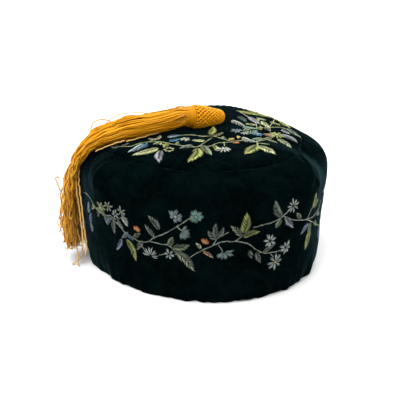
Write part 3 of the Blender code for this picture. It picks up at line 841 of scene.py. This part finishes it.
class Needle:
    """Lays the stitches of one part of the embroidery on the velvet."""

    def __init__(self, settings, colour_cast):
        self.settings = settings
        self.cloth = Cloth()
        self.rng = random.Random(settings.seed)
        self.stems, self.leaves, self.flowers = Threads(colour_cast), Threads(colour_cast), Threads(colour_cast)

    def stitch(self, work, ends, heights, width, shade, painted_shading):
        """One straight stitch over the velvet, between two spots."""
        (q0, m0), (q1, m1) = (self.cloth.near(spot) for spot in ends)
        path, ups = [], []
        for k, height in enumerate(heights):
            t = k / (len(heights) - 1)
            up = m0.lerp(m1, t).normalized()
            path.append(q0.lerp(q1, t) + up * self.settings.lift * height)
            ups.append(up)
        radii = [self.settings.thread * width * f for f in (0.7, 1.0, 0.95, 0.45)]
        # painted_shading darkens each stitch at its first end and brightens its raised middle: painted
        # shade and painted highlight along the thread
        work.lay(path, radii, [shade * f for f in painted_shading], 4, ups, 0.75)

    def leaf(self, base, tip, width, dye):
        """Fishbone stitch: threads lean out from the midrib to a ragged edge."""
        (p0, n0), (p1, n1) = base, tip
        thread, rng = self.settings.thread, self.rng
        axis = p1 - p0
        length = axis.length
        across = (n0 + n1).normalized().cross(axis).normalized()
        first, last = silk_ends(dye)
        count = max(4, round(length / (thread * 1.42)))
        bend = rng.uniform(-0.12, 0.12) * length
        lit = rng.choice((-1, 1))

        def spot(a, b):
            return p0 + axis * a + across * (b + bend * math.sin(math.pi * clamp(a)))

        for side in (-1, 1):
            # one half of the leaf is painted lighter and the other darker, as if only one side caught the
            # light: painted highlight and painted shade
            tone = 1.22 if side == lit else 0.55
            for k in range(count):
                edge = 0.07 + 0.93 * (k + 0.5 + rng.uniform(-0.3, 0.3)) / count
                swell = edge ** 0.55 * max(1.0 - edge, 0.0) ** 0.7 / LEAF_BULGE
                half = 0.5 * width * max(swell, 0.1) * rng.uniform(0.72, 1.2)
                root = max(0.0, edge - 1.05 * half / length - 0.03)
                shade = first.lerp(last, min(1.0, 0.15 + 0.75 * edge + rng.uniform(-0.15, 0.25)))
                shade = shade * (tone * rng.uniform(0.66, 1.3))
                ends = (spot(root, side * 0.1 * thread), spot(edge, side * (half + 0.1 * thread)))
                self.stitch(self.leaves, ends, (0.1, 0.95, 0.8, -0.1), 0.5, shade, (0.4, 0.9, 1.12, 1.0))
        ends = (spot(0.72, 0.0), spot(1.05, 0.0))
        self.stitch(self.leaves, ends, (0.2, 1.0, 0.7, -0.1), 0.5, last, (0.6, 1.0, 1.1, 1.0))

    def stem(self, spots, dye):
        """Stem stitch: short slanted stitches that overlap like a rope."""
        width, rng, near = self.settings.stem, self.rng, self.cloth.near
        points = [place for place, _ in spots]
        steps = max(8, len(points) * 10)
        walked = [near(along_curve(points, k / steps))[0] for k in range(steps + 1)]
        total = sum((b - a).length for a, b in zip(walked, walked[1:]))
        stitch = width * 2.9
        count = max(2, round(total / (stitch * 0.5)))
        first, last = silk_ends(dye)
        for k in range(count):
            middle = (k + 0.5) / count
            reach = 0.5 * stitch / total
            ahead = along_curve(points, middle + 0.02) - along_curve(points, middle - 0.02)
            path, ups = [], []
            sway = rng.uniform(-0.6, 0.6)
            for t, height, slant in STEM_STITCH:
                place, normal = near(along_curve(points, middle + t * reach))
                across = normal.cross(ahead).normalized()
                rise = normal * width * 0.36 * height
                path.append(place + rise + across * width * 0.5 * (slant + sway))
                ups.append(normal)
            shade = first.lerp(last, rng.random()) * rng.uniform(0.6, 1.15)
            self.stems.lay(path, [width * s for s in (0.12, 0.29, 0.27, 0.12)], shade, 4, ups, 0.85)

    def knot(self, place, normal, radius, dye):
        """A French knot: one small coil of thread."""
        side = normal.orthogonal().normalized()
        other = normal.cross(side)
        path = []
        for k in range(7):
            angle = 2.0 * math.pi * k / 6
            spoke = side * math.cos(angle) + other * math.sin(angle)
            path.append(place + spoke * radius * 0.5 + normal * radius * 0.5)
        shade = silk_ends(dye)[1] * self.rng.uniform(0.85, 1.1)
        self.flowers.lay(path, radius * 0.52, shade, 4, [normal] * 7)

    def flower(self, centre, flower):
        """Petals in satin stitch about a heart of knots."""
        place, normal = centre
        rng = self.rng
        up_guess = Vector((0.0, 0.0, 1.0))
        if abs(normal.z) >= 0.8:
            up_guess = Vector((place.x - CAP_CENTRE.x, place.y, 0.0)).normalized()
        sideways = up_guess.cross(normal).normalized()
        upwards = normal.cross(sideways).normalized()
        radius = flower.radius * MM
        inner = radius * (flower.hole + 0.05)
        first, last = silk_ends(flower.dye)
        strokes = max(2, round(flower.width * MM / (self.settings.thread * 1.25)))
        for k in range(flower.petals):
            share = k / flower.petals if flower.spread >= 360 else (k / (flower.petals - 1) - 0.5)
            angle = math.radians(flower.facing + share * flower.spread + rng.uniform(-7.0, 7.0))
            reach = radius * rng.uniform(0.86, 1.12)
            lit = rng.uniform(0.72, 1.15)
            for j in range(strokes):
                fan = (j + 0.5) / strokes - 0.5
                turn = angle + fan * 1.15 * flower.width * MM / radius
                out = sideways * math.cos(turn) + upwards * math.sin(turn)
                far = reach * (1.0 - 0.95 * fan * fan) * rng.uniform(0.88, 1.1)
                shade = first.lerp(last, rng.uniform(0.45, 1.0)) * (lit * rng.uniform(0.8, 1.15))
                ends = (place + out * inner, place + out * far)
                self.stitch(self.flowers, ends, (0.0, 0.85, 0.8, -0.1), 0.46, shade, (0.4, 0.8, 1.15, 1.1))
        if flower.heart:
            for k in range(4):
                angle = 2.0 * math.pi * k / 4 + 0.4
                spoke = sideways * math.cos(angle) + upwards * math.sin(angle)
                at, up = self.cloth.near(place + spoke * 0.00055)
                self.knot(at + up * self.settings.lift * 0.6, up, 0.0005, flower.heart)


def embroider(context, part, leaves, stems, flowers, repeats, stem_dye):
    """Lays the charted stems, leaves and flowers, and their repeats round the back."""
    settings = context.scene.cap_embroidery
    # the part's colour cast: painted shade round the band, a green and blue tint on the crown
    needle = Needle(settings, getattr(settings, part + "_wear"))
    spot = getattr(needle.cloth, part)
    for copy in repeats:
        for line in stems:
            spots = [spot(t + copy.shift, r) for t, r in line if copy.first <= t <= copy.last]
            if len(spots) > 1:
                needle.stem(spots, stem_dye)
        for leaf in leaves:
            turns = (leaf.turn, leaf.tip_turn)
            if copy.first <= min(turns) and max(turns) <= copy.last:
                base = spot(leaf.turn + copy.shift, leaf.reach)
                tip = spot(leaf.tip_turn + copy.shift, leaf.tip_reach)
                needle.leaf(base, tip, leaf.width * MM, leaf.dye)
        for flower in flowers:
            if copy.first <= flower.turn <= copy.last:
                needle.flower(spot(flower.turn + copy.shift, flower.reach), flower)
    silk = silk_material("embroidery_silk", 0.45, 1.1, 0.5, 0.00008, 0.72, (0.6, 0.6, 0.55))
    needle.stems.piece(part + "_stems", silk)
    needle.leaves.piece(part + "_leaves", silk)
    needle.flowers.piece(part + "_flowers", silk)


class CAP_OT_band_embroidery(bpy.types.Operator):
    """Embroiders the vine round the band"""

    bl_idname = "cap.band_embroidery"
    bl_label = "Band embroidery"

    def execute(self, context):
        embroider(context, "band", BAND_LEAVES, BAND_STEMS, BAND_FLOWERS, BAND_REPEATS, "stem")
        return {"FINISHED"}


class CAP_OT_crown_embroidery(bpy.types.Operator):
    """Embroiders the wreath on the crown"""

    bl_idname = "cap.crown_embroidery"
    bl_label = "Crown embroidery"

    def execute(self, context):
        embroider(
            context, "crown", CROWN_LEAVES, CROWN_STEMS, CROWN_FLOWERS, CROWN_REPEATS, "stem_lime")
        return {"FINISHED"}


def gold_dye(settings, rng, depth, light=1.0):
    """A strand's colour: its bright silk outside, blended towards a darker colour in the skirt's depth as
    painted shade, and scaled by light, a painted light and shade.
    """
    bright, depth_shade = Vector(settings.bright), Vector(settings.depth_shade)
    return depth_shade.lerp(bright, clamp(depth)) * rng.uniform(0.8, 1.12) * light


def head_point(along, turn, radius):
    """A point about the head's axis; along and radius are in millimetres."""
    out = HEAD_SIDE * math.cos(turn) + HEAD_UP * math.sin(turn)
    return HEAD_TIP * MM + CAP_CENTRE + HEAD_AXIS * along * MM + out * radius * MM


def head_radius(along):
    """The head's radius at this distance from its tip, in millimetres."""
    for low, high in zip(HEAD_STATIONS, HEAD_STATIONS[1:]):
        if along <= high.along:
            t = (along - low.along) / (high.along - low.along)
            t = t * t * (3.0 - 2.0 * t) * 0.35 + t * 0.65
            return low.radius + (high.radius - low.radius) * t
    return HEAD_STATIONS[-1].radius


class CAP_OT_tassel_head(bpy.types.Operator):
    """Makes the tassel's head: silk over a core, under a knotted net"""

    bl_idname = "cap.tassel_head"
    bl_label = "Tassel head"

    def execute(self, context):
        settings = context.scene.cap_tassel
        rng = random.Random(3)
        gold = silk_material("tassel_silk", 0.38, 1.9, 0.5, 0.00016, 0.62, GOLD_GLOSS)
        core = Threads()
        first, last = HEAD_STATIONS[0].along, HEAD_STATIONS[-1].along
        stations = [first + (last - first) * j / 16 for j in range(17)]
        for k in range(CORE_STRANDS):
            turn = 2.0 * math.pi * k / CORE_STRANDS
            path = [head_point(s, turn, head_radius(s) - 0.95) for s in stations]
            radii = [max(0.16, CORE_FILL * math.pi * (head_radius(s) - 0.9) / CORE_STRANDS) * MM
                     for s in stations]
            # the core, seen between the net's cords, is painted darker: painted shade
            core.lay(path, radii, gold_dye(settings, rng, 0.35), 5)
        # a small coil closes the tip
        for k in range(9):
            along = first - 0.25 + 0.01 * k
            radius = max(3.0 - 0.36 * k, 0.2)
            path = [head_point(along, 2.0 * math.pi * j / 14, radius) for j in range(15)]
            core.lay(path, 0.00042, gold_dye(settings, rng, 0.9), 5)
        core.piece("tassel_head_core", gold, ("tassel_head",), "gold_silk")
        net = Threads()
        cords, steps = settings.net, 60
        for direction in (-1, 1):
            for k in range(cords):
                path = []
                for j in range(steps + 1):
                    share = j / steps
                    along = first + 0.3 + (last - first - 0.3) * share
                    turn = 2.0 * math.pi * (k / cords + direction * 0.46 * share ** 0.8)
                    turn += 0.05 * noise.noise(Vector((k * 3.0, direction, share * 9.0)))
                    beat = j * cords * 0.92 / steps + (0.5 if direction > 0 else 0.0)
                    weave = 0.2 * math.sin(math.pi * beat)
                    path.append(head_point(along, turn, head_radius(along) + 0.12 + weave))
                # the net's cords are painted lighter than the silk beneath them: painted highlight
                net.lay(path, 0.0004, gold_dye(settings, rng, 1.0, 1.12), 5)
        net.piece("tassel_net", gold, (), "gold_silk")
        return {"FINISHED"}


class CAP_OT_tassel_collar(bpy.types.Operator):
    """Winds the collar between the head and the skirt"""

    bl_idname = "cap.tassel_collar"
    bl_label = "Tassel collar"

    def execute(self, context):
        settings = context.scene.cap_tassel
        rng = random.Random(5)
        gold = silk_material("collar_silk", 0.4, 1.2, 0.5, 0.00012, 0.62, GOLD_GLOSS)
        winding = Threads()
        steps = 28
        for layer in WINDINGS:
            path = []
            for k in range(WINDING_TURNS * steps + 1):
                share = k / (WINDING_TURNS * steps)
                turn = 2.0 * math.pi * WINDING_TURNS * share
                path.append(head_point(layer.begin + layer.run * share, turn, layer.radius - 0.9 * share))
            # the collar's silk is painted a little darker, and the lower winding darker still: painted
            # shade
            shades = [gold_dye(settings, rng, layer.depth, 0.92) for _ in range(WINDING_TURNS + 1)]
            winding.lay(path, layer.thread, [shades[k // steps] for k in range(len(path))], 6)
        winding.piece("tassel_collar_winding", gold, ("tassel_collar",), "wound_silk")
        return {"FINISHED"}


def skirt_frame(share):
    """The skirt's middle, the directions across it and towards the cap, and sizes."""
    route = [Vector((s.x, s.y, s.z)) for s in SKIRT_SECTIONS]
    sizes = [Vector((s.half_width, s.half_depth, 0.0)) for s in SKIRT_SECTIONS]
    along = (along_curve(route, share + 0.01) - along_curve(route, share - 0.01)).normalized()
    across = Vector((0.0, -1.0, 0.0))
    across = (across - along * across.dot(along)).normalized()
    middle = along_curve(route, share) * MM + CAP_CENTRE
    return middle, across, across.cross(along), along_curve(sizes, share) * MM


def disc_spot(ring, angle):
    """A spot in the skirt's section, as shares of its half width and half depth."""
    return Vector((ring * math.cos(angle), ring * math.sin(angle), 0.0))


def wander(seed, along):
    """A smooth random move, from a spot in the noise and a distance along it."""
    return noise.noise_vector(seed + Vector((0.0, 0.0, along)))


def looseness(share):
    """How freely the skirt's strands fall at this share of its length."""
    return clamp((share - 0.3) / 0.35)


def strand_path(index, count, frames, locks, cloth, rng):
    """One strand of the skirt: it keeps to its lock, waves, and curls at its end."""
    ring = math.sqrt(0.14 + 0.86 * (index + 0.5) / count)
    own = disc_spot(ring, index * GOLDEN_ANGLE)
    lock = min(locks, key=lambda spot: (spot - own).length)
    seed = Vector([rng.uniform(0, 90) for _ in range(3)])
    end = rng.uniform(0.94, 1.0) if rng.random() < 0.75 else rng.uniform(0.82, 0.94)
    free = rng.random() < 0.2
    stray = 1.1 if free and ring > 0.86 and rng.random() < 0.5 else 0.0
    apart = rng.random() ** 2.2
    phase = 40.0 * (lock.x + lock.y)
    path = []
    for k, (middle, across, inward, size) in enumerate(frames):
        share = k / (len(frames) - 1)
        if share > end:
            break
        loose = looseness(share)
        hang = clamp((share - 0.43) / 0.22)
        place = own.lerp(lock, (0.1 if free else 0.62) * loose)
        if place.y < 0.3:
            # below the crown's edge most strands gather near the cap, and a few hang apart
            place.y = 0.3 - (0.3 - place.y) * (1.0 - 0.55 * hang * (1.0 - apart))
        sway = wander(lock * 7.0, share * 7.0) * (0.12 + 0.18 * loose)
        drift = wander(seed, share * 11.0) * (0.11 + (0.3 if free else 0.04) * loose)
        drift += own * stray * max(0.0, noise.noise(seed + Vector((0.0, 5.0, share * 8.0))) - 0.05)
        move = place + sway + drift
        swing = 2.0 * math.pi * share * (12.0 + 3.0 * math.sin(phase))
        crimp = wander(seed, share * 40.0) * 0.5
        wide = (math.sin(phase + swing) + crimp.x) * (0.12 + 0.55 * loose) * MM
        deep = (math.cos(1.3 * phase + 0.8 * swing) + crimp.y) * (0.12 + 0.65 * loose) * MM
        point = middle + across * (size.x * move.x + wide) + inward * (size.y * move.y + deep)
        path.append(cloth.lifted(point, STRAND_GAP))
    if len(path) > 6:
        # the free end turns back on itself in a small loop
        tip = path[-1]
        down = (tip - path[-3]).normalized()
        out = disc_spot(1.0, rng.uniform(0.0, 2.0 * math.pi))
        out = (out - down * out.dot(down)).normalized()
        radius = rng.uniform(0.0008, 0.0015)
        for k in range(1, 6):
            turn = math.radians(46.0 * k)
            loop = tip + out * radius * (1.0 - math.cos(turn)) + down * radius * math.sin(turn)
            path.append(cloth.lifted(loop, LOOP_GAP))
    return path, own


class CAP_OT_tassel_skirt(bpy.types.Operator):
    """Lays the skirt's silk strands over the crown and down the side"""

    bl_idname = "cap.tassel_skirt"
    bl_label = "Tassel skirt"

    def execute(self, context):
        settings = context.scene.cap_tassel
        rng = random.Random(11)
        noise.seed_set(SKIRT_SEED)
        cloth = Cloth()
        gold = silk_material("skirt_silk", 0.3, 1.7, 0.6, 0.00016, 0.6, GOLD_GLOSS)
        fine = [skirt_frame(k / (FINE_ROWS - 1)) for k in range(FINE_ROWS)]
        coarse = [skirt_frame(k / (COARSE_ROWS - 1)) for k in range(COARSE_ROWS)]
        locks = [disc_spot(math.sqrt((k + 0.5) / LOCKS), 2.4 * k) for k in range(LOCKS)]
        outer, inner = Threads(), Threads()
        for index in range(settings.strands):
            hidden = index < HIDDEN_SHARE * settings.strands
            frames = coarse if hidden else fine
            path, own = strand_path(index, settings.strands, frames, locks, cloth, rng)
            tone = rng.uniform(-0.55, 0.3)
            # three in ten of the strands that show are painted brighter and yellower: painted highlight
            highlit = not hidden and rng.random() < 0.3
            dyes, radii = [], []
            for k in range(len(path)):
                share = k / (len(frames) - 1)
                fade = max(0.0, (share - 0.55) / 0.45)
                loose = looseness(share)
                # strands are painted darker the deeper they lie in the skirt, a painted shade that changes
                # at random along and between them; light paints the side towards the cap darker, painted
                # shade, and the outer side lighter, painted light
                recoloured = 0.6 * noise.noise(Vector((index * 1.7, 0.0, share * 12.0)))
                depth = own.length * 1.25 - 0.3 + tone * (1.0 + 0.9 * loose) + recoloured
                light = 1.0 - loose * (0.6 if own.y > 0.0 else 0.3) * own.y
                shade = gold_dye(settings, random.Random(index), depth, light)
                if highlit:
                    shade = shade.lerp(HIGHLIGHT_SILK * light, 0.5 + 0.4 * loose)
                dyes.append(shade.lerp(DUSTY_SILK, 0.3 * fade))
                radii.append(settings.strand * (0.52 - 0.14 * min(1.0, 2.0 * share)))
            (inner if hidden else outer).lay(path, radii, dyes)
        outer.piece("tassel_strands", gold, ("tassel_skirt",), "gold_silk")
        inner.piece("tassel_inner_strands", gold, (), "gold_silk")
        strays = Threads()
        for line in STRAYS:
            points = [Vector(p) * MM + CAP_CENTRE for p in line]
            steps = 8 * len(points)
            seed = Vector((rng.uniform(0, 50), 0.0, 0.0))
            path = []
            for k in range(steps + 1):
                point = along_curve(points, k / steps) + wander(seed, k * 0.45) * 0.0007
                point.z = max(point.z, settings.strand * 0.55)
                path.append(cloth.lifted(point, STRAY_GAP))
            shade = gold_dye(settings, rng, 0.8).lerp(PALE_SILK, 0.65)
            strays.lay(path, settings.strand * 0.62, shade)
        strays.piece("tassel_strays", gold, (), "gold_silk")
        return {"FINISHED"}


def link(name, data, location):
    """A lamp or camera as an object of the scene."""
    made = bpy.data.objects.new(name, data)
    made.location = location
    bpy.context.scene.collection.objects.link(made)
    return made


def add_world(settings):
    """Even white light, before a backdrop as bright as the far floor."""
    world = bpy.data.worlds.new("even_light")
    bpy.context.scene.world = world
    world.use_nodes = True
    tree = world.node_tree
    white = (1.0, 1.0, 1.0, 1.0)
    even = tree.nodes["Background"]
    set_inputs(even, {"Color": white, "Strength": settings.sky})
    seen = add_node(tree, "Background", Color=white, Strength=BACKDROP)
    either = add_node(tree, "MixShader")
    tree.links.new(add_node(tree, "LightPath").outputs["Is Camera Ray"], either.inputs["Fac"])
    tree.links.new(even.outputs["Background"], either.inputs[1])
    tree.links.new(seen.outputs["Background"], either.inputs[2])
    tree.links.new(either.outputs["Shader"], tree.nodes["World Output"].inputs["Surface"])


class CAP_OT_stage(bpy.types.Operator):
    """Sets the floor, the soft light and the camera"""

    bl_idname = "cap.stage"
    bl_label = "Stage"

    def execute(self, context):
        settings = context.scene.cap_stage
        deselect_all()
        bpy.ops.mesh.primitive_plane_add(size=12.0, location=(0.0, 2.0, 0.0))
        floor = context.object
        floor.name = "floor"
        bpy.ops.object.transform_apply(location=True, rotation=True, scale=True)
        paper, tree, shader = new_material("paper_floor", Roughness=0.9)
        grain = add_noise(tree, add_node(tree, "TexCoord").outputs["Object"], 60.0, 2.0)
        colour = add_ramp(tree, grain, [c * 0.99 for c in settings.floor], settings.floor)
        tree.links.new(colour, shader.inputs["Base Color"])
        floor.data.materials.append(paper)

        context.scene.view_settings.view_transform = "Standard"
        add_world(settings)
        sun = link("sun", bpy.data.lights.new("sun", "SUN"), (0.0, 0.0, 0.0))
        sun.data.energy = settings.sun
        sun.data.angle = math.radians(60.0)
        sun.rotation_euler = (math.radians(24.0), math.radians(-14.0), 0.0)
        for name, place, size, share, colour in LAMPS:
            lamp = link(name, bpy.data.lights.new(name, "AREA"), place)
            lamp.data.shape = "SQUARE"
            lamp.data.size = size
            lamp.data.energy = settings.key * share
            lamp.data.color = colour
            aim = Vector((0.0, 0.0, 0.06)) - Vector(place)
            lamp.rotation_euler = aim.to_track_quat("-Z", "Y").to_euler()

        tilt = math.radians(CAMERA_ELEVATION)
        away = Vector((0.0, -math.cos(tilt), math.sin(tilt))) * CAMERA_DISTANCE
        camera = link("camera", bpy.data.cameras.new("camera"), CAMERA_AIM + away)
        camera.data.lens = CAMERA_LENS
        camera.data.sensor_width = 36.0
        camera.data.clip_start = 0.01
        pitch = math.radians(90.0 - CAMERA_ELEVATION - CAMERA_TILT)
        turn = Matrix.Rotation(math.radians(-CAMERA_PAN), 4, "Z") @ Matrix.Rotation(pitch, 4, "X")
        camera.rotation_euler = turn.to_euler()
        context.scene.camera = camera
        return {"FINISHED"}


SETTINGS = {
    "cap_velvet": CapVelvetSettings,
    "cap_embroidery": CapEmbroiderySettings,
    "cap_tassel": CapTasselSettings,
    "cap_stage": CapStageSettings,
}
OPERATORS = (
    CAP_OT_velvet, CAP_OT_band_embroidery, CAP_OT_crown_embroidery, CAP_OT_tassel_head,
    CAP_OT_tassel_collar, CAP_OT_tassel_skirt, CAP_OT_stage,
)


class CAP_PT_panel(bpy.types.Panel):
    """Lists the cap's pieces and their settings"""

    bl_idname = "CAP_PT_panel"
    bl_label = "Smoking cap"
    bl_space_type = "VIEW_3D"
    bl_region_type = "UI"
    bl_category = "Cap"

    def draw(self, context):
        for name, group in SETTINGS.items():
            box = self.layout.box()
            box.label(text=name.replace("cap_", "").title())
            for setting in group.__annotations__:
                box.prop(getattr(context.scene, name), setting)
        for piece in OPERATORS:
            self.layout.operator(piece.bl_idname)


def register():
    for name, group in SETTINGS.items():
        bpy.utils.register_class(group)
        setattr(bpy.types.Scene, name, bpy.props.PointerProperty(type=group))
    for made in (*OPERATORS, CAP_PT_panel):
        bpy.utils.register_class(made)


def unregister():
    for made in (CAP_PT_panel, *reversed(OPERATORS)):
        bpy.utils.unregister_class(made)
    for name, group in SETTINGS.items():
        delattr(bpy.types.Scene, name)
        bpy.utils.unregister_class(group)


def main():
    register()
    bpy.ops.cap.velvet()
    bpy.ops.cap.band_embroidery()
    bpy.ops.cap.crown_embroidery()
    bpy.ops.cap.tassel_head()
    bpy.ops.cap.tassel_collar()
    bpy.ops.cap.tassel_skirt()
    bpy.ops.cap.stage()


if __name__ == "__main__":
    main()
